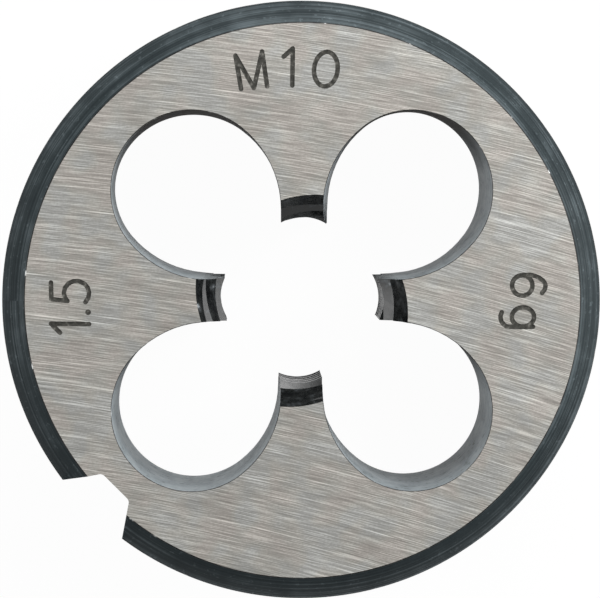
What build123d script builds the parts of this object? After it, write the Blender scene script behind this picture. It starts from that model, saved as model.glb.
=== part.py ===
from build123d import *

import os
from math import ceil, radians, sin, tan

os.makedirs("parts", exist_ok=True)

# A round threading die: one piece of hardened tool steel, in millimetres. It
# lies flat on Z = 0 with the thread's axis along +Z. The face that starts the
# thread is on top, and one of the four lands points along +X.

# The blank is a disc with a chamfer round the rim of both faces
die_diameter = 30.0
die_thickness = 11.0
rim_chamfer = 1.1

# The thread that the die cuts. On the land at 0 degrees, a space between two
# of the cutting teeth is centred at the start height above the bottom face
thread_diameter = 10.0
thread_pitch = 1.5
thread_angle = 60.0
thread_start = 0.6

# The throat is the lead into the thread, at both faces. On each land it is
# part of a cone set off the axis, so that the land's heel clears the work
throat_overlap = 0.3
throat_half_angle = 30.0
throat_relief = 0.65

# The chip holes leave the thread standing on lands between them
land_count = 4
land_width = 2.1
flank_gap = 0.46
flank_run = 0.95
rim_wall = 3.2

# The slitting notch is a groove in the rim, outside one chip hole
notch_depth = 1.85
notch_floor_width = 1.9
notch_angle = 68.0
notch_corner_radius = 0.15

# Conical pits in the rim take the die stock's screws: two that close the die
# and two that hold it. A closing pit lies a little past its screw's line, so
# that the screw presses on the pit's wall and pushes it towards the notch
pit_diameter = 4.5
pit_cone_angle = 90.0
closing_pit_swing = 60.0
closing_pit_offset = 1.0
holding_pit_swing = 120.0

# What follows from these sizes
cut_margin = 1.0
die_radius = die_diameter / 2
mid_height = die_thickness / 2
flank_slope = tan(radians(thread_angle / 2))
thread_height = thread_pitch / 2 / flank_slope
major_radius = thread_diameter / 2
minor_radius = major_radius - 17 / 24 * thread_height
throat_radius = major_radius + throat_overlap
throat_slope = tan(radians(throat_half_angle))
pit_slope = tan(radians(pit_cone_angle / 2))
notch_slope = tan(radians(notch_angle / 2))
land_step = 360 / land_count
half_step = land_step / 2
notch_direction = half_step + land_step * (land_count // 2)

# The outer end of a chip hole is the largest circle that leaves the wall to
# the rim on one side and the gap to both lands' sides on the other
hole_reach = die_radius - rim_wall
half_step_sine = sin(radians(half_step))
hole_distance = (hole_reach + land_width / 2 + flank_gap) / (1 + half_step_sine)
hole_radius = hole_reach - hole_distance
hole_centre = Vector(hole_distance, 0).rotate(Axis.Z, half_step)
hole_tip = Vector(hole_reach, 0).rotate(Axis.Z, half_step)

# A flank is a wider arc, tangent to the land's side and to that circle
side_start = Vector(land_width / 2 / tan(radians(half_step)), land_width / 2)
flank_start = Vector(hole_centre.X - flank_run, land_width / 2)
flank_radius = hole_radius + (flank_run**2 + flank_gap**2) / (2 * flank_gap)
flank_centre = flank_start + Vector(0, flank_radius)
flank_end = hole_centre + (hole_centre - flank_centre).normalized() * hole_radius

# One chip hole, between the land at 0 degrees and the next. Half of it is
# drawn, from where the sides of the two lands would meet to the hole's tip
with BuildSketch() as chip_hole:
    with BuildLine():
        land_side = Line(side_start, flank_start)
        flank = TangentArc(land_side @ 1, flank_end, tangent=land_side % 1)
        TangentArc(flank @ 1, hole_tip, tangent=flank % 1)
        mirror(about=Plane.XZ.rotated((0, 0, half_step)))
    make_face()

# The space between two cutting teeth on the land at 0 degrees: a V with a flat
# root, swept along the thread's helix well past both sides of the land
space_margin = 0.1
space_swing = 2 / 3 * half_step
space_rise = space_swing / 360 * thread_pitch
space_inner_radius = minor_radius - space_margin
root_half_width = thread_pitch / 16
inner_half_width = root_half_width + (major_radius - space_inner_radius) * flank_slope
with BuildPart() as thread_space:
    with BuildLine(Plane.XY.rotated((0, 0, -space_swing))):
        Helix(
            pitch=thread_pitch,
            height=2 * space_rise,
            radius=minor_radius,
            center=(0, 0, -space_rise),
        )
    with BuildSketch(Plane.XZ.rotated((0, 0, -space_swing))):
        Polygon(
            (space_inner_radius, -space_rise - inner_half_width),
            (major_radius, -space_rise - root_half_width),
            (major_radius, -space_rise + root_half_width),
            (space_inner_radius, -space_rise + inner_half_width),
            align=None,
        )
    sweep(is_frenet=True)

# The grinding cone for the land at 0 degrees, with its mouth on Z = 0 and the
# die below that, kept to the land's own share of the circle
with BuildPart() as throat_cone:
    with Locations((0, -throat_relief, cut_margin)):
        Cone(
            bottom_radius=0,
            top_radius=throat_radius + cut_margin * throat_slope,
            height=throat_radius / throat_slope + cut_margin,
            align=(Align.CENTER, Align.CENTER, Align.MAX),
        )
    with BuildSketch(Plane.XY.offset(cut_margin)):
        share_side = Vector(die_diameter, 0)
        Polygon(
            (0, 0),
            share_side.rotate(Axis.Z, -half_step),
            share_side.rotate(Axis.Z, half_step),
            align=None,
        )
    extrude(amount=-die_diameter, mode=Mode.INTERSECT)

with BuildPart() as threading_die:
    # The blank
    with BuildSketch():
        Circle(die_radius)
    extrude(amount=die_thickness)
    chamfer(threading_die.edges(), length=rim_chamfer)

    # The bore and the chip holes
    with BuildSketch():
        Circle(minor_radius)
        with PolarLocations(0, land_count):
            add(chip_hole.sketch)
    extrude(amount=die_thickness, mode=Mode.SUBTRACT)

    # The thread. It is right-handed, so from one land to the next, to the left
    # as seen from above, it climbs by a land's share of the pitch
    thread_spaces = [
        Location(
            (0, 0, thread_start + (turn + land / land_count) * thread_pitch),
            (0, 0, land * land_step),
        )
        for land in range(land_count)
        for turn in range(-1, ceil(die_thickness / thread_pitch) + 1)
    ]
    with Locations(*thread_spaces):
        add(thread_space.part, mode=Mode.SUBTRACT)

    # The throats. Seen from its own face, each one's relief runs the same way
    # round, because the thread starts right-handed from either face
    top_face = Location((0, 0, die_thickness))
    bottom_face = Location((0, 0, 0), (180, 0, 0))
    with Locations(top_face, bottom_face):
        with PolarLocations(0, land_count):
            add(throat_cone.part, mode=Mode.SUBTRACT)

    # The slitting notch
    with BuildSketch(Plane.XY.rotated((0, 0, notch_direction))):
        floor_x = die_radius - notch_depth
        mouth_x = die_radius + cut_margin
        floor_y = notch_floor_width / 2
        mouth_y = floor_y + (mouth_x - floor_x) * notch_slope
        Polygon(
            (floor_x, floor_y),
            (floor_x, -floor_y),
            (mouth_x, -mouth_y),
            (mouth_x, mouth_y),
            align=None,
        )
        fillet(vertices().sort_by(Axis.X)[:2], radius=notch_corner_radius)
    extrude(amount=die_thickness, mode=Mode.SUBTRACT)

    # The pits, each a cone that points at the axis from outside the rim
    for swing, offset in (
        (closing_pit_swing, closing_pit_offset),
        (holding_pit_swing, 0),
        (-holding_pit_swing, 0),
        (-closing_pit_swing, -closing_pit_offset),
    ):
        pit_mouth = Location((die_radius + cut_margin, offset, mid_height), (0, -90, 0))
        with PolarLocations(0, 1, start_angle=notch_direction + swing):
            with Locations(pit_mouth):
                Cone(
                    bottom_radius=pit_diameter / 2 + cut_margin * pit_slope,
                    top_radius=0,
                    height=pit_diameter / 2 / pit_slope + cut_margin,
                    align=(Align.CENTER, Align.CENTER, Align.MIN),
                    mode=Mode.SUBTRACT,
                )

threading_die.part.label = "threading_die"
export_step(threading_die.part, "parts/threading_die.step")
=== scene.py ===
# %% [markdown]
# # A round threading die
# A die is a hard steel nut with cutting edges. It is turned from tool steel,
# drilled, threaded and hardened, and its two faces are ground last. The grinding
# takes the black oxide off the faces and leaves it in the chip holes, in the
# thread and on the rim. This lesson models the die as it is made: first the
# blank, then every cut in the order in which the shop makes it, and last the
# finishes.
#
# The frame holds the die's exact solid, and the model made here takes its place.

# %% The frame
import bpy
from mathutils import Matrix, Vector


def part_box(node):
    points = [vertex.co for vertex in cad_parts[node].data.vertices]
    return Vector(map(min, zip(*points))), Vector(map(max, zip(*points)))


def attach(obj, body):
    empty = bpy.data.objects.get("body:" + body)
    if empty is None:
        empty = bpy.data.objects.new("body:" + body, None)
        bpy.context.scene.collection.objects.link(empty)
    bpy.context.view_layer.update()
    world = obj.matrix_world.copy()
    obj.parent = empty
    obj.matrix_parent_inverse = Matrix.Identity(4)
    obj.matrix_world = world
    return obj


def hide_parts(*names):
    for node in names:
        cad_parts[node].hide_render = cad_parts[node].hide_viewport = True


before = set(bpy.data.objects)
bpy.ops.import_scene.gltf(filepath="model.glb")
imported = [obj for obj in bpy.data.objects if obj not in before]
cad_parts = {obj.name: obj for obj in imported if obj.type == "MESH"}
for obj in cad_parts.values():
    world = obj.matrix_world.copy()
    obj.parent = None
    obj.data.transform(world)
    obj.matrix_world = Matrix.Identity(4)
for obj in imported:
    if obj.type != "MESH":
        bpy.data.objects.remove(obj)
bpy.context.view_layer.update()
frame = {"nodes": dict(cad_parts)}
print("solids in the frame:", ", ".join(frame["nodes"]))

# %% [markdown]
# ## Lengths
# Blender counts in metres, and a die is measured in millimetres, so a length
# below is a number times mm. The die lies flat on the floor with its thread's
# axis along Z and one land along X. Its diameter and thickness come from the
# frame. Cutters reach past the die by a spare millimetre, because a cut whose
# cutter ends exactly in a face leaves stray slivers.

# %% The die's overall size
import bmesh
import bpy
from math import atan2, ceil, cos, degrees, pi, radians, sin, tan
from mathutils import Matrix, Vector

mm = 0.001
far_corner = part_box("threading_die")[1]
die_radius = far_corner.x
die_thickness = far_corner.z
spare = 1.0 * mm
scene = bpy.context.scene
print("diameter and thickness, mm:", round(2 * die_radius / mm, 2), round(die_thickness / mm, 2))

# %% [markdown]
# ## Working with operators
# An operator acts on whatever is selected, so it is easy to change a piece by
# accident. These helpers start from nothing selected, and put a new object's
# place into its mesh, so that every mesh is in the die's own coordinates.

# %% Helpers for objects
def deselect_all():
    """Leave edit mode and select nothing."""
    if bpy.context.object and bpy.context.object.mode != "OBJECT":
        bpy.ops.object.mode_set(mode="OBJECT")
    bpy.ops.object.select_all(action="DESELECT")


def select(piece):
    """Make one piece the only one that is selected, and the active one."""
    deselect_all()
    piece.select_set(True)
    bpy.context.view_layer.objects.active = piece


def named(name):
    """Name what an operator has just added, and put its place into its mesh."""
    piece = bpy.context.object
    piece.name = name
    piece.data.name = name
    bpy.ops.object.transform_apply(location=True, rotation=True, scale=True)
    return piece


deselect_all()
print("objects still selected:", len(bpy.context.selected_objects))

# %% [markdown]
# By hand, one would click the edges to bevel. A script has to find them, and
# their place or direction is a better guide than their number, which changes
# with every edit. Normals are made to point outwards when a mesh is done,
# because a Boolean cut with an inside-out cutter keeps the wrong side.

# %% Helpers for edit mode
def edit(kind):
    """Enter edit mode with nothing selected, to work on vertices, edges or faces."""
    bpy.ops.object.mode_set(mode="EDIT")
    bpy.ops.mesh.select_mode(type=kind)
    bpy.ops.mesh.select_all(action="DESELECT")
    return bmesh.from_edit_mesh(bpy.context.object.data)


def pick(shape, parts, test):
    """Select the vertices, edges or faces that pass a test, and count them."""
    count = 0
    for part in parts:
        part.select_set(bool(test(part)))
        count += part.select
    shape.select_flush_mode()
    bmesh.update_edit_mesh(bpy.context.object.data)
    return count


def finished():
    """Leave edit mode with the normals pointing outwards."""
    bpy.ops.mesh.select_all(action="SELECT")
    bpy.ops.mesh.normals_make_consistent(inside=False)
    bpy.ops.object.mode_set(mode="OBJECT")


# %% [markdown]
# ## The finishes, by name
# A face keeps the finish of the tool that cut it, so each finish is named now
# and painted later. Oxide looks different on turned, bored, milled and ground
# steel. It could be one material with masks, but a material for each kind of
# cut is simpler, and a Boolean cut hands it on by itself.

# %% One empty finish for each kind of surface
finishes = {}
for title in (
    "ground_steel", "oxide_turned", "oxide_hole", "oxide_thread", "oxide_milled", "bare_edge", "size_mark",
):
    finishes[title] = bpy.data.materials.new(title)
    finishes[title].use_nodes = True


def give(piece, *titles):
    """Give a piece one or more finishes. New faces take the first."""
    piece.data.materials.clear()
    for title in titles:
        piece.data.materials.append(finishes[title])


print("finishes:", ", ".join(finishes))

# %% [markdown]
# ## The blank
# The blank is a disc from a turned bar, with a chamfer round both faces. Its
# section could be drawn and spun. A cylinder with a bevel on its two level
# edges is the same shape in fewer steps, and the chamfer's width stays one
# number.

# %% The turned disc
rim_chamfer = 1.12 * mm


def level_edge(edge):
    """True for an edge that runs round the disc."""
    return abs(edge.verts[0].co.z - edge.verts[1].co.z) < 0.01 * mm


deselect_all()
bpy.ops.mesh.primitive_cylinder_add(
    vertices=360, radius=die_radius, depth=die_thickness, location=(0, 0, die_thickness / 2)
)
die = named("die")
give(die, "oxide_turned", "ground_steel", "bare_edge")
shape = edit("EDGE")
count = pick(shape, shape.edges, level_edge)
bpy.ops.mesh.bevel(offset=rim_chamfer, segments=1, clamp_overlap=False)
print("edges with the chamfer:", count)

# %% [markdown]
# No real edge is perfectly sharp, and a broken edge is what catches the light.
# A second and much finer bevel breaks the four edges that the chamfers leave.
# Then the flat faces get the ground finish. A die isn't held quite square when
# it is ground, so the outline of the upper face lands a trace off centre.

# %% The four broken edges and the two ground faces
edge_break = 0.03 * mm
face_shift = 0.042 * mm
ground_index, bare_index = 1, 2
bpy.ops.mesh.select_all(action="DESELECT")
shape = bmesh.from_edit_mesh(die.data)
count = pick(shape, shape.edges, level_edge)
bpy.ops.mesh.bevel(offset=edge_break, segments=1, clamp_overlap=False, material=bare_index)
shape = bmesh.from_edit_mesh(die.data)
for face in shape.faces:
    if abs(face.normal.z) > 0.99:
        face.material_index = ground_index
bpy.ops.mesh.select_mode(type="VERT")
pick(shape, shape.verts, lambda v: v.co.z > die_thickness - 1.5 * edge_break)
bpy.ops.transform.translate(value=(face_shift, 0, 0))
finished()
print("edges broken:", count)

# %% [markdown]
# ## The chip holes
# Four holes are bored round the thread, so that it stands on four narrow lands
# and the chips have a way out. The sides of a land are straight for a little
# way and then run into the hole on a wider arc. A hole is the largest circle
# that leaves a wall to the rim on one side and a gap to both lands on the
# other, so its place and its size follow from those lengths.

# %% The outline of one hole
land_half = 1.05 * mm
rim_wall = 3.2 * mm
flank_gap, flank_run = 0.46 * mm, 0.95 * mm
hole_reach = die_radius - rim_wall
hole_distance = (hole_reach + land_half + flank_gap) / (1 + sin(radians(45)))
hole_radius = hole_reach - hole_distance
hole_centre = Vector((hole_distance * cos(radians(45)), hole_distance * sin(radians(45)), 0))
side_start = Vector((land_half, land_half, 0))
flank_start = Vector((hole_centre.x - flank_run, land_half, 0))
flank_radius = hole_radius + (flank_run**2 + flank_gap**2) / (2 * flank_gap)
flank_centre = flank_start + Vector((0, flank_radius, 0))
flank_end = hole_centre + (hole_centre - flank_centre).normalized() * hole_radius
print("hole radius, mm:", round(hole_radius / mm, 3), "and distance, mm:", round(hole_distance / mm, 3))

# %% [markdown]
# The spin tool draws an arc from its angle. An arc's angle is the difference
# of the directions of its two ends, seen from its centre. The outline is the
# same on both sides of the hole's middle line, which runs at 45 degrees, so
# swapping X and Y gives the other half.

# %% The angles of its arcs
def angle_of(point, centre):
    """The direction of a point as seen from a centre."""
    return atan2(point.y - centre.y, point.x - centre.x)


def swapped(point):
    """The mirror image of a point across the hole's middle line."""
    return Vector((point.y, point.x, point.z))


flank_angle = angle_of(flank_end, flank_centre) - angle_of(flank_start, flank_centre)
hole_angle = (angle_of(swapped(flank_end), hole_centre) - angle_of(flank_end, hole_centre)) % (2 * pi)
print("arcs, degrees:", round(degrees(flank_angle), 1), round(degrees(hole_angle), 1))

# %% [markdown]
# A curve object could hold the outline too. Drawn in edit mode, it stays a
# mesh: it starts as one vertex, extruding that vertex draws a line, and
# spinning it draws an arc. Only the last vertex is selected after each step,
# so the next step goes on from there.

# %% Helpers for drawing
def one_vertex(place):
    """Start an outline from a single vertex: a small plane, merged to its centre."""
    bpy.ops.mesh.primitive_plane_add(size=mm, location=place)
    bpy.ops.object.transform_apply(location=True)
    bpy.ops.object.mode_set(mode="EDIT")
    bpy.ops.mesh.select_mode(type="VERT")
    bpy.ops.mesh.select_all(action="SELECT")
    bpy.ops.mesh.merge(type="CENTER")
    return bpy.context.object


def draw_to(step):
    """Draw a straight line on from the last vertex, or pull a face along."""
    bpy.ops.mesh.extrude_region_move(TRANSFORM_OT_translate={"value": step})


def draw_arc(steps, angle, centre):
    """Draw an arc on from the last vertex. Seen from above it runs to the left."""
    bpy.ops.mesh.spin(steps=steps, angle=angle, center=centre, axis=(0, 0, -1))


# %% [markdown]
# The outline starts where the sides of two lands would meet, goes out along one
# of them, round the hole and back to the other. Filling it later closes it. It
# lies a spare millimetre below the die. Where it ends is printed, as a check on
# the angles: the last flank has to end at the first one's mirror image.

# %% Draw the outline
deselect_all()
down = Vector((0, 0, -spare))
hole_cutter = one_vertex(side_start + down)
hole_cutter.name = "hole_cutter"
draw_to(flank_start - side_start)
draw_arc(10, flank_angle, flank_centre + down)
draw_arc(96, hole_angle, hole_centre + down)
draw_arc(10, flank_angle, swapped(flank_centre) + down)
shape = bmesh.from_edit_mesh(hole_cutter.data)
for v in shape.verts:
    if v.select:
        print("the outline ends at, mm:", [round(c / mm, 3) for c in v.co])

# %% [markdown]
# The outline is filled and pulled through the die in steps. Close to each face
# the cutter flares, and that breaks the edge of the hole. A bevel on the die
# would do it as well, but it would also have to find its way round the teeth.
# The flare is a level of vertices that shrink_fatten moves outwards.

# %% Fill it, and pull it through the die with a flare at each face
bpy.ops.mesh.select_all(action="SELECT")
bpy.ops.mesh.edge_face_add()
levels = (-spare, -edge_break, edge_break, die_thickness - edge_break, die_thickness + edge_break)
for here, there in zip(levels, levels[1:] + (die_thickness + spare,)):
    draw_to((0, 0, there - here))
finished()
give(hole_cutter, "oxide_hole", "bare_edge")
shape = edit("VERT")
flares = (-edge_break, die_thickness + edge_break)
count = pick(shape, shape.verts, lambda v: min(abs(v.co.z - z) for z in flares) < edge_break / 4)
bpy.ops.transform.shrink_fatten(value=2 * edge_break)
shape = bmesh.from_edit_mesh(hole_cutter.data)
for face in shape.faces:
    middle_z = face.calc_center_median().z
    face.material_index = int(min(abs(middle_z), abs(middle_z - die_thickness)) < edge_break)
bmesh.update_edit_mesh(hole_cutter.data)
bpy.ops.object.mode_set(mode="OBJECT")
print("vertices moved outwards for the flares:", count)

# %% [markdown]
# A Boolean modifier takes a cutter out of the die, and applying it makes the
# cut final. The exact solver copes with thin slivers, and the transfer mode
# gives the fresh faces the cutter's finish.
#
# A drill wanders a little on its way down, so each copy of the cutter leans by
# up to a quarter of a millimetre at the lower face, and is a trace wider or
# narrower there.

# %% Four holes
def duplicate(piece):
    """A copy of a piece, with its own mesh."""
    select(piece)
    bpy.ops.object.duplicate(linked=False)
    return bpy.context.object


def cut(piece, cutter, title, crosses_itself=False):
    """Take the cutter out of the piece. The fresh faces keep the cutter's finish."""
    select(piece)
    bpy.ops.object.modifier_add(type="BOOLEAN")
    boolean = piece.modifiers[-1]
    boolean.name = title
    boolean.operation = "DIFFERENCE"
    boolean.solver = "EXACT"
    boolean.material_mode = "TRANSFER"
    boolean.use_self = crosses_itself
    boolean.object = cutter
    bpy.ops.object.modifier_apply(modifier=boolean.name)
    bpy.data.objects.remove(cutter)
    print(title, "- faces now:", len(piece.data.polygons))


# At the lower face: the shift along X and Y in millimetres, and the width along X and Y as a share
hole_wanders = (
    (0.25, 0.04, 0.941, 0.995),
    (0.05, -0.03, 1.03, 0.978),
    (0.076, -0.116, 0.986, 0.986),
    (0.058, 0.046, 1.0, 1.0),
)
for quarter, (lean_x, lean_y, wide_x, wide_y) in enumerate(hole_wanders):
    turn = Matrix.Rotation(quarter * pi / 2, 4, "Z")
    one_hole = duplicate(hole_cutter)
    one_hole.data.transform(turn)
    shape = edit("VERT")
    pick(shape, shape.verts, lambda v: v.co.z < die_thickness / 2)
    bpy.ops.transform.resize(value=(wide_x, wide_y, 1), center_override=turn @ hole_centre)
    bpy.ops.transform.translate(value=(lean_x * mm, lean_y * mm, 0))
    bpy.ops.object.mode_set(mode="OBJECT")
    cut(die, one_hole, "chip hole %d" % (quarter + 1))
bpy.data.objects.remove(hole_cutter)

# %% [markdown]
# ## The bore and the thread
# The die's teeth are a tap's turned inside out, so the cutter is a tap. Its
# profile is one pitch of the thread: the core, a flank, the flat tip and the
# other flank. The crests of the die's teeth lie at the root of the bolt's
# thread, 17/24 of the sharp thread's height inside its major diameter.

# %% The profile of one pitch
thread_pitch = 1.5 * mm
thread_start = 0.6 * mm
major_radius = 5.0 * mm
flank_slope = tan(radians(30))
minor_radius = major_radius - 17 / 24 * thread_pitch / 2 / flank_slope
root_half = thread_pitch / 16
inner_radius = minor_radius - 0.18 * mm
mouth_half = root_half + (major_radius - inner_radius) * flank_slope
turns_below = 2
profile_z = thread_start - turns_below * thread_pitch
deselect_all()
tap = one_vertex((inner_radius, 0, profile_z - thread_pitch / 2))
tap.name = "tap"
draw_to((0, 0, thread_pitch / 2 - mouth_half))
draw_to((major_radius - inner_radius, 0, mouth_half - root_half))
draw_to((0, 0, 2 * root_half))
draw_to((inner_radius - major_radius, 0, mouth_half - root_half))
draw_to((0, 0, thread_pitch / 2 - mouth_half))
bpy.ops.object.mode_set(mode="OBJECT")
print("crests of the teeth at a radius of, mm:", round(minor_radius / mm, 3))

# %% [markdown]
# A Screw modifier winds the profile up the axis, as a lathe does. The thread is
# right-handed, so it climbs as it turns to the left. The turns start below the
# die and end above it. Two bisecting planes trim them and fill the ends,
# because a Boolean cutter has to be closed all round.

# %% Wind it, close its ends and cut
bpy.ops.object.modifier_add(type="SCREW")
winding = tap.modifiers[-1]
winding.axis = "Z"
winding.angle = 2 * pi
winding.screw_offset = thread_pitch
winding.iterations = ceil(die_thickness / thread_pitch) + 2 * turns_below
winding.steps = winding.render_steps = 120
winding.use_merge_vertices = False
bpy.ops.object.modifier_apply(modifier=winding.name)
edit("VERT")
bpy.ops.mesh.select_all(action="SELECT")
bpy.ops.mesh.remove_doubles(threshold=0.0005 * mm)
for z, clear in ((-spare, {"clear_inner": True}), (die_thickness + spare, {"clear_outer": True})):
    bpy.ops.mesh.select_all(action="SELECT")
    bpy.ops.mesh.bisect(plane_co=(0, 0, z), plane_no=(0, 0, 1), use_fill=True, threshold=0.0001 * mm, **clear)
shape = bmesh.from_edit_mesh(tap.data)
print("open edges in the tap:", sum(not e.is_manifold for e in shape.edges))
finished()
give(tap, "oxide_thread")
cut(die, tap, "bore and thread")

# %% [markdown]
# The crests of the teeth are relieved as well. A land's end is hollow, and its
# cutting edge, on the left as seen from the axis, stands out in a sharp corner.
# A round cutter for each land, a little to one side, leaves that shape. The
# lands are ground one by one, so each ends at its own distance from the axis.

# %% The hollow ends of the lands
hollow_radius = 2.3 * mm
hollow_shift = 0.1 * mm
for turn, crest in ((0, 4.14 * mm), (90, 4.14 * mm), (180, 4.05 * mm), (270, 4.22 * mm)):
    deselect_all()
    bpy.ops.mesh.primitive_cylinder_add(
        vertices=180,
        radius=hollow_radius,
        depth=die_thickness + 2 * spare,
        location=(crest - hollow_radius, -hollow_shift, die_thickness / 2),
    )
    crest_cutter = named("crest_cutter")
    crest_cutter.data.transform(Matrix.Rotation(radians(turn), 4, "Z"))
    give(crest_cutter, "oxide_thread")
    cut(die, crest_cutter, "crests of the land at %d degrees" % turn)

# %% [markdown]
# ## The throats
# The first teeth would snag if they started at full height, so a cone is ground
# into each end of the thread as a lead. On every land the cone sits a little
# off the axis. That makes the land's heel lower than its cutting edge, and only
# the edge touches the work. Two bisecting planes cut one cone down to its own
# land's share of the circle, and a trace less, so that two cones side by side
# don't meet in one wall.

# %% One ground cone for the land along +X
throat_radius = major_radius + 0.3 * mm
throat_slope = tan(radians(30))
throat_relief = 0.65 * mm
cone_height = throat_radius / throat_slope + spare
deselect_all()
bpy.ops.mesh.primitive_cone_add(
    vertices=192,
    radius1=0,
    radius2=throat_radius + spare * throat_slope,
    depth=cone_height,
    location=(0, -throat_relief, spare - cone_height / 2),
)
throats = named("throats")
edit("FACE")
share = radians(44.5)
for side in (share, -share):
    outwards = Vector((-sin(side), cos(side), 0)) * (1 if side > 0 else -1)
    bpy.ops.mesh.select_all(action="SELECT")
    bpy.ops.mesh.bisect(
        plane_co=(0, 0, 0), plane_no=outwards, use_fill=True, clear_outer=True, threshold=0.0001 * mm
    )
finished()
give(throats, "oxide_thread")
print("the throat's mouth, mm:", round(2 * throat_radius / mm, 2))

# %% [markdown]
# The cone is copied round for the other lands. The lower face needs the same
# four, turned over about X. They aren't mirrored, because the thread starts
# right-handed from either face, and a mirror would relieve the wrong side of
# each land.

# %% All eight throats
def joined(pieces):
    """Make one piece of several."""
    deselect_all()
    for one in pieces:
        one.select_set(True)
    bpy.context.view_layer.objects.active = pieces[0]
    bpy.ops.object.join()
    return pieces[0]


ring = [throats]
for quarter in (1, 2, -1):
    copy = duplicate(throats)
    copy.data.transform(Matrix.Rotation(quarter * pi / 2, 4, "Z"))
    ring.append(copy)
throats = joined(ring)
lower_throats = duplicate(throats)
lower_throats.data.transform(Matrix.Rotation(pi, 4, "X"))
throats.data.transform(Matrix.Translation((0, 0, die_thickness)))
cut(die, throats, "throats in the top")
cut(die, lower_throats, "throats in the bottom")

# %% [markdown]
# ## The notch and the pits
# The slitting notch is a groove with sloping sides in the rim. A pointed screw
# in the die stock finds it, and an adjustable die is slit open there. The
# cutter is a plane whose inner edge is drawn together. Two of its corners are
# rounded by a bevel, as the milling cutter's are, and it is pulled up through
# the die.

# %% The notch
notch_direction = 225
notch_floor = die_radius - 1.85 * mm
notch_mouth = die_radius + spare
floor_half = 0.95 * mm
mouth_half_width = floor_half + (notch_mouth - notch_floor) * tan(radians(34))
deselect_all()
bpy.ops.mesh.primitive_plane_add(size=1, location=(0, 0, -spare))
bpy.context.object.scale = (notch_mouth - notch_floor, 2 * mouth_half_width, 1)
bpy.context.object.location.x = (notch_mouth + notch_floor) / 2
notch = named("notch")
shape = edit("VERT")
pick(shape, shape.verts, lambda v: v.co.x < die_radius)
bpy.ops.transform.resize(value=(1, floor_half / mouth_half_width, 1), center_override=(notch_floor, 0, 0))
bpy.ops.mesh.bevel(offset=0.15 * mm, segments=6, affect="VERTICES", clamp_overlap=False)
bpy.ops.mesh.select_all(action="SELECT")
draw_to((0, 0, die_thickness + 2 * spare))
finished()
notch.data.transform(Matrix.Rotation(radians(notch_direction), 4, "Z"))
give(notch, "oxide_milled")
cut(die, notch, "notch")

# %% [markdown]
# The pits in the rim are the marks of a drill's point: cones that take the
# screws of the die stock. The two nearer to the notch close the die, and lie a
# millimetre off centre, so that the screw pushes on one wall. The other two
# only hold it.

# %% The four pits
pit_radius = 2.25 * mm
for turn, offset in ((60, 1.0 * mm), (120, 0), (-120, 0), (-60, -1.0 * mm)):
    deselect_all()
    bpy.ops.mesh.primitive_cone_add(
        vertices=96,
        radius1=pit_radius + spare,
        radius2=0,
        depth=pit_radius + spare,
        location=(die_radius + spare - (pit_radius + spare) / 2, offset, die_thickness / 2),
        rotation=(0, -pi / 2, 0),
    )
    pit = named("pit")
    pit.data.transform(Matrix.Rotation(radians(notch_direction + turn), 4, "Z"))
    give(pit, "oxide_milled")
    cut(die, pit, "pit at %d degrees from the notch" % turn)

# %% [markdown]
# ## The size marks
# The size and the tolerance class of the thread are etched into the face, with
# the pitch across from them. Every stroke is a round-ended groove. Blender's
# text has flat strokes with square ends, so each stroke is drawn as a line of
# edges instead, made a curve, and given a round bevel, with a ball at each end.

# %% The etching tool
stroke_half = 0.124 * mm
stroke_depth = 0.05 * mm
strokes = []


def ball(place, radius):
    """A small ball, for the end of a stroke or for a point."""
    bpy.ops.mesh.primitive_uv_sphere_add(segments=12, ring_count=6, radius=radius, location=place)
    bpy.ops.object.transform_apply(location=True)
    return bpy.context.object


def tube(line):
    """Turn a drawn line into a tube, and return the balls that round its ends."""
    bpy.ops.object.mode_set(mode="OBJECT")
    uses = {}
    for edge in line.data.edges:
        for index in edge.vertices:
            uses[index] = uses.get(index, 0) + 1
    ends = [line.data.vertices[i].co.copy() for i, count in uses.items() if count == 1]
    bpy.ops.object.convert(target="CURVE")
    line.data.bevel_depth = stroke_half
    line.data.bevel_resolution = 2
    line.data.use_fill_caps = True
    bpy.ops.object.convert(target="MESH")
    return [ball(end, stroke_half) for end in ends]


# %% [markdown]
# The strokes are drawn on the floor, in millimetres. Each part of one is then
# flattened and lifted to the height of the face, half sunk in it. It is lifted
# by a trace more, so that its widest line isn't exactly level with the face,
# where the solver would find two surfaces that only touch.

# %% Strokes, rings and points
def etch(part):
    """Flatten a part of a stroke, and sink it halfway into the face."""
    part.data.transform(Matrix.Diagonal((1, 1, stroke_depth / stroke_half, 1)))
    part.data.transform(Matrix.Translation((0, 0, die_thickness + stroke_depth / 7)))
    give(part, "size_mark")
    strokes.append(part)


def etch_line():
    """Etch the line that has just been drawn."""
    line = bpy.context.object
    for part in [line] + tube(line):
        etch(part)


def stroke(*points):
    """One etched line through points of the face, in millimetres."""
    deselect_all()
    places = [Vector((x, y, 0)) * mm for x, y in points]
    one_vertex(places[0])
    for here, there in zip(places, places[1:]):
        draw_to(there - here)
    etch_line()


def ring_stroke(centre, half_width, half_height, lean=0.0):
    """One etched ring, in millimetres. Its lean is the slope of its upright."""
    deselect_all()
    bpy.ops.mesh.primitive_circle_add(vertices=32, radius=1)
    ring = bpy.context.object
    ring.data.transform(Matrix.Diagonal((half_width * mm, half_height * mm, 1, 1)))
    ring.data.transform(Matrix(((1, lean, 0, 0), (0, 1, 0, 0), (0, 0, 1, 0), (0, 0, 0, 1))))
    ring.data.transform(Matrix.Translation((centre[0] * mm, centre[1] * mm, 0)))
    bpy.ops.object.mode_set(mode="EDIT")
    etch_line()


def point(x, y):
    """One etched point, in millimetres, a little wider than a stroke."""
    deselect_all()
    etch(ball((x * mm, y * mm, 0), 1.2 * stroke_half))


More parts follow.
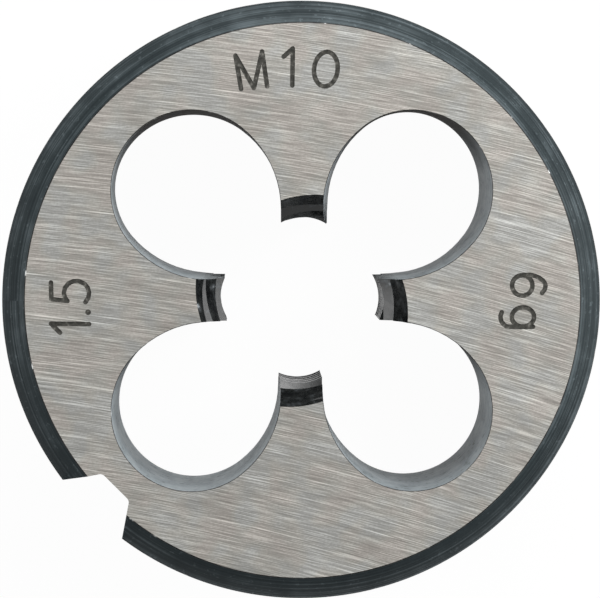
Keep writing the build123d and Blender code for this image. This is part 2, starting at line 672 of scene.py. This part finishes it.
# %% [markdown]
# The size M10 stands over the middle. Its strokes are a little uneven, as in
# etching that is guided by hand. A corner is two strokes with their own round
# ends, since a tube through a sharp corner would pinch there.

# %% The thread's size
stroke((-3.31, 12.22), (-3.03, 10.56))
stroke((-3.31, 12.22), (-2.39, 10.61))
stroke((-2.39, 10.61), (-1.985, 12.425))
stroke((-1.985, 12.425), (-1.73, 10.69))
stroke((-0.91, 12.17), (-0.455, 12.575))
stroke((-0.455, 12.575), (-0.48, 10.74))
ring_stroke((1.193, 11.547), 0.59, 0.857, 0.06)
print("parts of strokes so far:", len(strokes))

# %% [markdown]
# The class 6g reads downwards on the right. Each sign is a ring with a tail,
# and the tail is one smooth line of short steps, so its tube doesn't pinch.

# %% Its tolerance class
ring_stroke((11.008, 0.763), 0.51, 0.51)
stroke(
    (11.0, 1.273), (11.23, 1.295), (11.42, 1.29), (11.65, 1.235), (11.87, 1.138),
    (12.05, 1.0), (12.143, 0.863), (12.168, 0.725), (12.138, 0.575), (12.0, 0.388),
)
ring_stroke((11.043, -0.811), 0.557, 0.48)
stroke(
    (11.55, -1.30), (10.93, -1.315), (10.374, -1.30), (10.21, -1.275), (10.08, -1.185),
    (9.98, -1.055), (9.93, -0.905), (9.92, -0.755), (9.984, -0.576),
)
print("parts of strokes so far:", len(strokes))

# %% [markdown]
# The pitch, 1.5 mm, reads upwards on the left. It is easier to draw upright, so
# its points count from its own corner and are turned and moved to their place.

# %% Its pitch
word_corner = (-10.61, -1.58)


def upwards(*points):
    """Points of a word that reads upwards, from the word's own across and up."""
    return [(word_corner[0] - up, word_corner[1] + across) for across, up in points]


stroke(*upwards((0.0, 1.45), (0.45, 1.9)))
stroke(*upwards((0.45, 1.9), (0.43, 0.0)))
point(*upwards((1.02, 0.05))[0])
stroke(*upwards((2.5, 1.9), (1.68, 1.88)))
stroke(*upwards((1.68, 1.88), (1.58, 1.08)))
stroke(*upwards(
    (1.58, 1.08), (1.75, 1.2), (1.98, 1.26), (2.24, 1.2), (2.45, 1.03), (2.57, 0.78),
    (2.57, 0.5), (2.45, 0.24), (2.25, 0.07), (2.0, 0.0), (1.74, 0.04), (1.53, 0.18),
))
print("parts of strokes:", len(strokes))

# %% [markdown]
# All the strokes are joined and cut in one go. They cross each other at the
# corners, so this one cut is told that its cutter crosses itself.

# %% Etch them
cut(die, joined(strokes), "marks", crosses_itself=True)

# %% [markdown]
# ## The finished piece
# The cuts leave a few vertices that lie almost on top of each other, which are
# merged. The curved walls are shaded smooth and the edges stay crisp, by the
# angle between their faces. The level faces are large and have many sides, and
# smooth shading would smear light across them, so they are shaded flat.
#
# The die rides on the frame's root body, and the solid that it replaces is hidden.

# %% Shade it and let it ride on the frame
select(die)
edit("VERT")
bpy.ops.mesh.select_all(action="SELECT")
bpy.ops.mesh.remove_doubles(threshold=0.0002 * mm)
bpy.ops.mesh.dissolve_degenerate(threshold=0.0005 * mm)
bpy.ops.object.mode_set(mode="OBJECT")
bpy.ops.object.shade_smooth_by_angle(angle=radians(28))
shape = edit("FACE")
pick(shape, shape.faces, lambda f: abs(f.normal.z) > 0.9999)
bpy.ops.mesh.faces_shade_flat()
bpy.ops.object.mode_set(mode="OBJECT")
die.name = die.data.name = "die_steel"
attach(die, "root")
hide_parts("threading_die")
print("triangles:", sum(len(p.vertices) - 2 for p in die.data.polygons))

# %% [markdown]
# ## Painting the finishes
# A finish is a small tree of nodes. Clicked together by hand it is a picture,
# and in a script it is a list, so one helper adds a node, sets what is given as
# a number or a colour, and links what is given as a socket.

# %% Helpers for node trees
def add(tree, kind, inputs=None, **settings):
    """Add a node to a tree. Inputs are values or other nodes' sockets."""
    one = tree.nodes.new("ShaderNode" + kind)
    for key, value in settings.items():
        setattr(one, key, value)
    for key, value in (inputs or {}).items():
        if isinstance(value, bpy.types.NodeSocket):
            tree.links.new(value, one.inputs[key])
        else:
            one.inputs[key].default_value = value
    return one


def start(title):
    """The node tree of a finish, its main shader, and the place on the die."""
    tree = finishes[title].node_tree
    shader = next(n for n in tree.nodes if n.type == "BSDF_PRINCIPLED")
    return tree, shader, add(tree, "TexCoord").outputs["Object"]


# %% [markdown]
# Patterns are numbers from about -1 to 1 at every point. They can be scaled and
# added up, as layers are, before one ramp turns the sum into a colour. That
# keeps every layer in the same few colours.

# %% Helpers for numbers and colours
def weigh(tree, value, low, high, to_low, to_high, clamp=False):
    """Stretch a value from one range to another."""
    ranges = {"From Min": low, "From Max": high, "To Min": to_low, "To Max": to_high}
    return add(tree, "MapRange", {"Value": value, **ranges}, clamp=clamp).outputs[0]


def maths(tree, operation, *values):
    """One step of arithmetic on numbers or sockets."""
    return add(tree, "Math", dict(enumerate(values)), operation=operation).outputs[0]


def layered(tree, *layers):
    """Add up several patterns, each with its weight."""
    parts = [maths(tree, "MULTIPLY", pattern, weight) for pattern, weight in layers]
    result = parts[0]
    for part in parts[1:]:
        result = maths(tree, "ADD", result, part)
    return result


def ramp(tree, value, *stops):
    """A colour that goes through several stops, each a place and a colour."""
    node = add(tree, "ValToRGB", {"Fac": value})
    while len(node.color_ramp.elements) < len(stops):
        node.color_ramp.elements.new(0.5)
    for element, (position, colour) in zip(node.color_ramp.elements, stops):
        element.position = position
        element.color = (*colour, 1)
    return node.outputs[0]


# %% [markdown]
# Noise gives spots when it is even, and marks when it is stretched. Ground and
# turned metal is covered in short marks that all run one way, so the helper for
# marks takes a place whose X runs along them and whose Y runs across. Relief is
# a bump of a few thousandths of a millimetre, too fine for the mesh.

# %% Helpers for patterns
def spotted(tree, place, size, seed, detail=2.0):
    """Noise with spots of a given size in millimetres."""
    moved = add(tree, "Mapping", {"Vector": place, "Location": (seed, seed, seed)}).outputs[0]
    noise = add(tree, "TexNoise", {"Vector": moved, "Scale": 500 / size, "Detail": detail, "Roughness": 0.6})
    return weigh(tree, noise.outputs["Fac"], 0.3, 0.7, -1, 1)


def streaked(tree, marks, length, width, seed, detail=2.0):
    """Noise with marks of a given length and width in millimetres."""
    stretch = (500 / length, 500 / width, 1)
    stretched = add(tree, "VectorMath", {0: marks, 1: stretch, 2: (seed, seed, 0)}, operation="MULTIPLY_ADD")
    settings = {"Vector": stretched.outputs[0], "Scale": 1.0, "Detail": detail, "Roughness": 0.6}
    noise = add(tree, "TexNoise", settings, noise_dimensions="2D")
    return weigh(tree, noise.outputs["Fac"], 0.3, 0.7, -1, 1)


def squeezed(tree, place, *scale):
    """The place, with distances along X, Y and Z made smaller, which draws a pattern out there."""
    return add(tree, "Mapping", {"Vector": place, "Scale": scale}).outputs[0]


def relief(tree, shader, pattern, strength, depth):
    """Give a finish a fine relief from a pattern."""
    bump = add(tree, "Bump", {"Height": pattern, "Strength": strength, "Distance": depth})
    tree.links.new(bump.outputs[0], shader.inputs["Normal"])


# %% [markdown]
# ### Ground steel
# A surface grinder leaves fine scratches on long arcs, as its wheel swings over
# a turning table. They slope down to the right here, more so at the right and at
# the bottom. Turning the pattern by one angle would make them straight, so a
# bent measure of height gives the place across them.

# %% Places along and across the grinding marks
tree, shader, place = start("ground_steel")
slope_in_middle = 0.2
slope_gain_along = 3.25
slope_gain_up = -4.4
parts = add(tree, "SeparateXYZ", {"Vector": place})
along, height = parts.outputs["X"], parts.outputs["Y"]
slope = maths(tree, "MULTIPLY_ADD", along, slope_gain_along, slope_in_middle)
slope = maths(tree, "MULTIPLY_ADD", height, slope_gain_up, slope)
across = maths(tree, "MULTIPLY_ADD", along, slope, height)
marks = add(tree, "CombineXYZ", {"X": along, "Y": across}).outputs[0]
print("slope of the marks in the middle, degrees:", round(degrees(atan2(slope_in_middle, 1)), 1))

# %% [markdown]
# Bare steel is a metal, and its colour is what it reflects. Hair-fine and longer
# marks carry most of the pattern, a few single scratches are lighter, and faint
# warm and cool spots are left by the coolant.

# %% Its brightness, colour and grain
hair = streaked(tree, marks, length=0.75, width=0.022, seed=3.0)
fine = streaked(tree, marks, length=2.4, width=0.036, seed=11.0)
broad = streaked(tree, marks, length=5.0, width=0.2, seed=23.0)
single = streaked(tree, marks, length=4.0, width=0.045, seed=41.0, detail=1.0)
scratches = weigh(tree, single, 0.8, 1.2, 0, 1, clamp=True)
spots = spotted(tree, place, size=1.6, seed=0.4)
grain = spotted(tree, place, size=0.06, seed=0.7, detail=1.0)
light = layered(
    tree, (hair, 0.56), (fine, 0.34), (broad, 0.11), (spots, 0.1), (scratches, 0.85), (grain, 0.14)
)
tone = ramp(
    tree, weigh(tree, light, -1.6, 1.6, 0, 1),
    (0.0, (0.10, 0.097, 0.09)), (0.5, (0.262, 0.255, 0.242)), (1.0, (0.64, 0.63, 0.605)),
)
hue = ramp(
    tree, weigh(tree, spotted(tree, place, size=0.8, seed=0.9, detail=1.0), -1, 1, 0, 1),
    (0.2, (1.0, 0.965, 0.935)), (0.5, (0.985, 0.985, 0.955)), (0.8, (0.96, 0.985, 0.99)),
)
colour = add(tree, "Mix", {0: 1.0, 6: tone, 7: hue}, data_type="RGBA", blend_type="MULTIPLY").outputs[2]
tree.links.new(colour, shader.inputs["Base Color"])
shader.inputs["Metallic"].default_value = 1.0
tree.links.new(weigh(tree, light, -1.5, 1.5, 0.46, 0.34), shader.inputs["Roughness"])
relief(tree, shader, maths(tree, "ADD", hair, fine), strength=0.2, depth=0.004 * mm)
print("ground steel, nodes:", len(tree.nodes))

# %% [markdown]
# ### Black oxide on the turned rim
# Oxide is a thin black film that shows the surface under it. It isn't a metal,
# and it hardly shines. The lathe's tool runs round the die, so the marks run
# along the circle, and the place across them is the height less the distance
# from the axis, which changes on the wall as well as on the chamfers.

# %% The turned rim
tree, shader, place = start("oxide_turned")
parts = add(tree, "SeparateXYZ", {"Vector": place})
flat = add(tree, "CombineXYZ", {"X": parts.outputs["X"], "Y": parts.outputs["Y"]}).outputs[0]
reach = add(tree, "VectorMath", {0: flat}, operation="LENGTH").outputs["Value"]
angle = maths(tree, "ARCTAN2", parts.outputs["Y"], parts.outputs["X"])
along = maths(tree, "MULTIPLY", angle, die_radius)
across = maths(tree, "SUBTRACT", parts.outputs["Z"], reach)
marks = add(tree, "CombineXYZ", {"X": along, "Y": across}).outputs[0]
rings = streaked(tree, marks, length=7.0, width=0.075, seed=5.0)
bands = streaked(tree, marks, length=20.0, width=0.35, seed=9.0)
spots = spotted(tree, place, size=0.7, seed=0.2, detail=4.0)
nicks = weigh(tree, spotted(tree, place, size=0.12, seed=0.9, detail=1.0), 0.8, 1.0, 0, 1, clamp=True)
light = layered(tree, (rings, 0.4), (bands, 0.35), (spots, 0.3), (nicks, 0.4))
tone = ramp(
    tree, weigh(tree, light, -1.4, 1.4, 0, 1),
    (0.0, (0.006, 0.009, 0.011)), (0.5, (0.0215, 0.0285, 0.031)), (1.0, (0.10, 0.122, 0.132)),
)
tree.links.new(tone, shader.inputs["Base Color"])
shader.inputs["Specular IOR Level"].default_value = 0.06
tree.links.new(weigh(tree, light, -1, 1, 0.52, 0.36), shader.inputs["Roughness"])
relief(tree, shader, rings, strength=0.3, depth=0.01 * mm)
print("turned rim, nodes:", len(tree.nodes))

# %% [markdown]
# ### Oxide in the chip holes
# A bored hole is rougher than a turned rim, and its oxide is greyer and dull,
# with dark spots where chips rubbed. The side of each hole towards +Y gets a
# painted shade, darker and duller. A hole's own height is the distance from the
# middle of its row of holes, so one formula serves the upper and lower pair.

# %% The bored holes
tree, shader, place = start("oxide_hole")
blotches = spotted(tree, squeezed(tree, place, 1, 1, 0.25), size=0.5, seed=0.3, detail=3.0)
rings = spotted(tree, squeezed(tree, place, 0.12, 0.12, 1), size=0.25, seed=0.7)
chips = weigh(tree, spotted(tree, place, size=0.16, seed=0.1, detail=1.0), 0.68, 0.9, 0, 1, clamp=True)
light = layered(tree, (blotches, 0.5), (rings, 0.3), (chips, -0.8))
tone = ramp(
    tree, weigh(tree, light, -1.2, 1.2, 0, 1),
    (0.0, (0.04, 0.046, 0.05)), (0.35, (0.158, 0.187, 0.201)), (1.0, (0.29, 0.32, 0.336)),
)
# Painted shade: the side of each hole towards +Y is mixed towards a dark brown and made duller.
height = add(tree, "SeparateXYZ", {"Vector": place}).outputs["Y"]
pair = maths(tree, "SIGN", height)
own_height = maths(tree, "MULTIPLY_ADD", pair, -hole_centre.y, height)
painted_shade_mask = weigh(tree, own_height, 0.8 * mm, 3.2 * mm, 0, 1, clamp=True)
colour = add(tree, "Mix", {0: painted_shade_mask, 6: tone, 7: (0.030, 0.026, 0.023, 1)}, data_type="RGBA").outputs[2]
tree.links.new(colour, shader.inputs["Base Color"])
shader.inputs["Specular IOR Level"].default_value = 0.22
roughness = layered(tree, (weigh(tree, light, -1, 1, 0.6, 0.5), 1), (painted_shade_mask, 0.38))
tree.links.new(roughness, shader.inputs["Roughness"])
relief(tree, shader, light, strength=0.3, depth=0.02 * mm)
print("bored holes, nodes:", len(tree.nodes))

# %% [markdown]
# ### Oxide in the notch and the pits
# A mill and a drill leave an even, satin surface. The feed marks of the mill
# run up the notch, so the noise is drawn out along Z.

# %% The milled notch and the pits
tree, shader, place = start("oxide_milled")
spots = spotted(tree, place, size=0.5, seed=0.2, detail=4.0)
feed = spotted(tree, squeezed(tree, place, 1, 1, 0.15), size=0.12, seed=0.6)
light = layered(tree, (spots, 0.45), (feed, 0.35))
tone = ramp(
    tree, weigh(tree, light, -1.2, 1.2, 0, 1),
    (0.0, (0.010, 0.012, 0.014)), (0.5, (0.033, 0.040, 0.043)), (1.0, (0.11, 0.13, 0.14)),
)
tree.links.new(tone, shader.inputs["Base Color"])
shader.inputs["Specular IOR Level"].default_value = 0.2
tree.links.new(weigh(tree, light, -1, 1, 0.6, 0.42), shader.inputs["Roughness"])
relief(tree, shader, light, strength=0.25, depth=0.02 * mm)
print("notch and pits, nodes:", len(tree.nodes))

# %% [markdown]
# ### Oxide on the teeth and the throats
# The teeth and their throats are ground and then blackened, so they are almost
# polished. The film is near black, and only the top of the ramp is light, where
# it has rubbed through. The smears run level, round the axis. The lands are so
# narrow that drawing the noise out along X and Y comes close enough to that.

# %% The thread and its throats
tree, shader, place = start("oxide_thread")
specks = spotted(tree, place, size=0.22, seed=0.3, detail=3.0)
smears = spotted(tree, squeezed(tree, place, 0.35, 0.35, 1), size=0.3, seed=0.7)
light = layered(tree, (specks, 0.6), (smears, 0.5))
tone = ramp(
    tree, weigh(tree, light, -1.4, 1.4, 0, 1),
    (0.0, (0.002, 0.002, 0.0025)), (0.6, (0.006, 0.007, 0.007)),
    (0.76, (0.03, 0.034, 0.037)), (0.93, (0.28, 0.30, 0.315)),
)
tree.links.new(tone, shader.inputs["Base Color"])
shader.inputs["Specular IOR Level"].default_value = 0.42
tree.links.new(weigh(tree, light, -1, 1, 0.14, 0.4), shader.inputs["Roughness"])
relief(tree, shader, light, strength=0.1, depth=0.015 * mm)
print("thread, nodes:", len(tree.nodes))

# %% [markdown]
# ### The broken edges
# An edge is dark with oxide, and here and there the film is worn through to
# bright steel. One pattern drives both the colour and how metallic it is, so
# that only the bright spots shine as metal.

# %% The broken edges
tree, shader, place = start("bare_edge")
wear = spotted(tree, place, size=0.5, seed=0.1, detail=4.0)
tone = ramp(
    tree, weigh(tree, wear, -1, 1, 0, 1),
    (0.35, (0.008, 0.008, 0.008)), (0.78, (0.035, 0.035, 0.034)), (0.97, (0.42, 0.425, 0.42)),
)
tree.links.new(tone, shader.inputs["Base Color"])
tree.links.new(weigh(tree, wear, 0.55, 0.9, 0, 1, clamp=True), shader.inputs["Metallic"])
shader.inputs["Specular IOR Level"].default_value = 0.1
shader.inputs["Roughness"].default_value = 0.55
print("broken edges, nodes:", len(tree.nodes))

# %% [markdown]
# ### The marks
# Etching leaves a matt, dark brown-grey groove whose depth of colour varies
# along each stroke. Small soft spots are enough for that.

# %% The etched marks
tree, shader, place = start("size_mark")
burn = spotted(tree, place, size=0.12, seed=0.5, detail=3.0)
tone = ramp(
    tree, weigh(tree, burn, -1, 1, 0, 1),
    (0.0, (0.018, 0.018, 0.016)), (0.6, (0.042, 0.041, 0.036)), (1.0, (0.12, 0.117, 0.105)),
)
tree.links.new(tone, shader.inputs["Base Color"])
shader.inputs["Specular IOR Level"].default_value = 0.12
tree.links.new(weigh(tree, burn, -1, 1, 0.8, 0.55), shader.inputs["Roughness"])
print("etched marks, nodes:", len(tree.nodes))

# %% [markdown]
# ## The camera
# The camera looks down on the die from a hand's length away, almost along its
# axis, so the far and near ends of the chip holes don't quite line up. Its
# turn is built from three directions: backwards, sideways and up.

# %% The camera
camera_data = bpy.data.cameras.new("camera")
camera = bpy.data.objects.new("camera", camera_data)
scene.collection.objects.link(camera)
camera_data.sensor_width = 36
camera_data.lens = 244.3
camera_data.clip_start = 0.01
camera_data.clip_end = 10
camera.location = Vector((-4.1, 6.9, 214.0)) * mm
aim = Vector((-0.095, 0.095, 11.0)) * mm
backwards = (camera.location - aim).normalized()
sideways = Vector((0, 1, 0)).cross(backwards).normalized()
upright = backwards.cross(sideways)
camera.rotation_euler = Matrix((sideways, upright, backwards)).transposed().to_euler()
scene.camera = camera
print("camera off the axis by, degrees:", round(degrees(backwards.angle(Vector((0, 0, 1)))), 2))

# %% [markdown]
# ## The floor
# The floor is plain and pale. It would take a lot of light to make it white,
# and that light would fall on the die as well. So the floor glows, but only for
# rays that the camera, a reflection or a glass sees directly. All other light
# finds a plain matt floor, which keeps the die's shadow. It lies a hair below
# the die, so that the two don't fight over the same plane.

# %% The floor
def grey(value):
    """A neutral colour."""
    return (value, value, value, 1.0)


def seen_directly(tree):
    """One for rays from the camera, a mirror or a glass, and none for other light."""
    ray = add(tree, "LightPath")
    direct = maths(tree, "MAXIMUM", ray.outputs["Is Camera Ray"], ray.outputs["Is Glossy Ray"])
    return maths(tree, "MAXIMUM", direct, ray.outputs["Is Transmission Ray"])


deselect_all()
bpy.ops.mesh.primitive_plane_add(size=1.2, location=(0, 0, -0.01 * mm))
floor = named("floor")
floor_finish = bpy.data.materials.new("floor_white")
floor_finish.use_nodes = True
tree = floor_finish.node_tree
shader = next(n for n in tree.nodes if n.type == "BSDF_PRINCIPLED")
shader.inputs["Base Color"].default_value = grey(0.9)
shader.inputs["Roughness"].default_value = 0.9
output = next(n for n in tree.nodes if n.type == "OUTPUT_MATERIAL")
glow = add(tree, "Emission", {"Color": grey(1.0), "Strength": 1.0})
share_of_glow = maths(tree, "MULTIPLY", seen_directly(tree), 0.97)
mix = add(tree, "MixShader", {0: share_of_glow, 1: shader.outputs[0], 2: glow.outputs[0]})
tree.links.new(mix.outputs[0], output.inputs["Surface"])
floor.data.materials.append(floor_finish)
print("floor, m:", [round(side, 2) for side in floor.dimensions])

# %% [markdown]
# ## The light
# The studio round the die is white where it is seen, for the same reason, and
# lights it from all sides only softly.

# %% The surroundings
world = bpy.data.worlds.new("studio")
scene.world = world
world.use_nodes = True
tree = world.node_tree
tree.nodes.clear()
soft = add(tree, "Background", {"Color": grey(1.0), "Strength": 0.3})
white = add(tree, "Background", {"Color": grey(1.0), "Strength": 1.0})
mix = add(tree, "MixShader", {0: seen_directly(tree), 1: soft.outputs[0], 2: white.outputs[0]})
output = add(tree, "OutputWorld")
tree.links.new(mix.outputs[0], output.inputs["Surface"])
print("strength of the soft light:", soft.inputs["Strength"].default_value)

# %% [markdown]
# Five softboxes stand round the die, low and far enough to leave soft edges.
# Most of the light comes from the right and from behind, so the chamfer is
# brighter there. Each one is a square lamp that is turned towards the die.

# %% The softboxes
softboxes = {
    "right_softbox": ((0.17, 0.02, 0.06), 0.12, 0.23),
    "far_softbox": ((0.03, 0.17, 0.07), 0.12, 0.15),
    "left_softbox": ((-0.15, 0.0, 0.09), 0.09, 0.10),
    "high_softbox": ((0.03, 0.13, 0.14), 0.08, 0.18),
    "near_softbox": ((0.068, 0.042, 0.10), 0.04, 0.08),
}
for name, (place, size, watts) in softboxes.items():
    lamp_data = bpy.data.lights.new(name, "AREA")
    lamp_data.size = size
    lamp_data.energy = watts
    lamp = bpy.data.objects.new(name, lamp_data)
    scene.collection.objects.link(lamp)
    lamp.location = place
    away = (lamp.location - Vector((0, 0, die_thickness))).normalized()
    lamp.rotation_euler = away.to_track_quat("Z", "Y").to_euler()
    print(name, "at, mm:", [round(c / mm) for c in place])

# %% [markdown]
# ## The view
# The standard view transform shows a colour as it is written.

# %% The view
scene.view_settings.view_transform = "Standard"
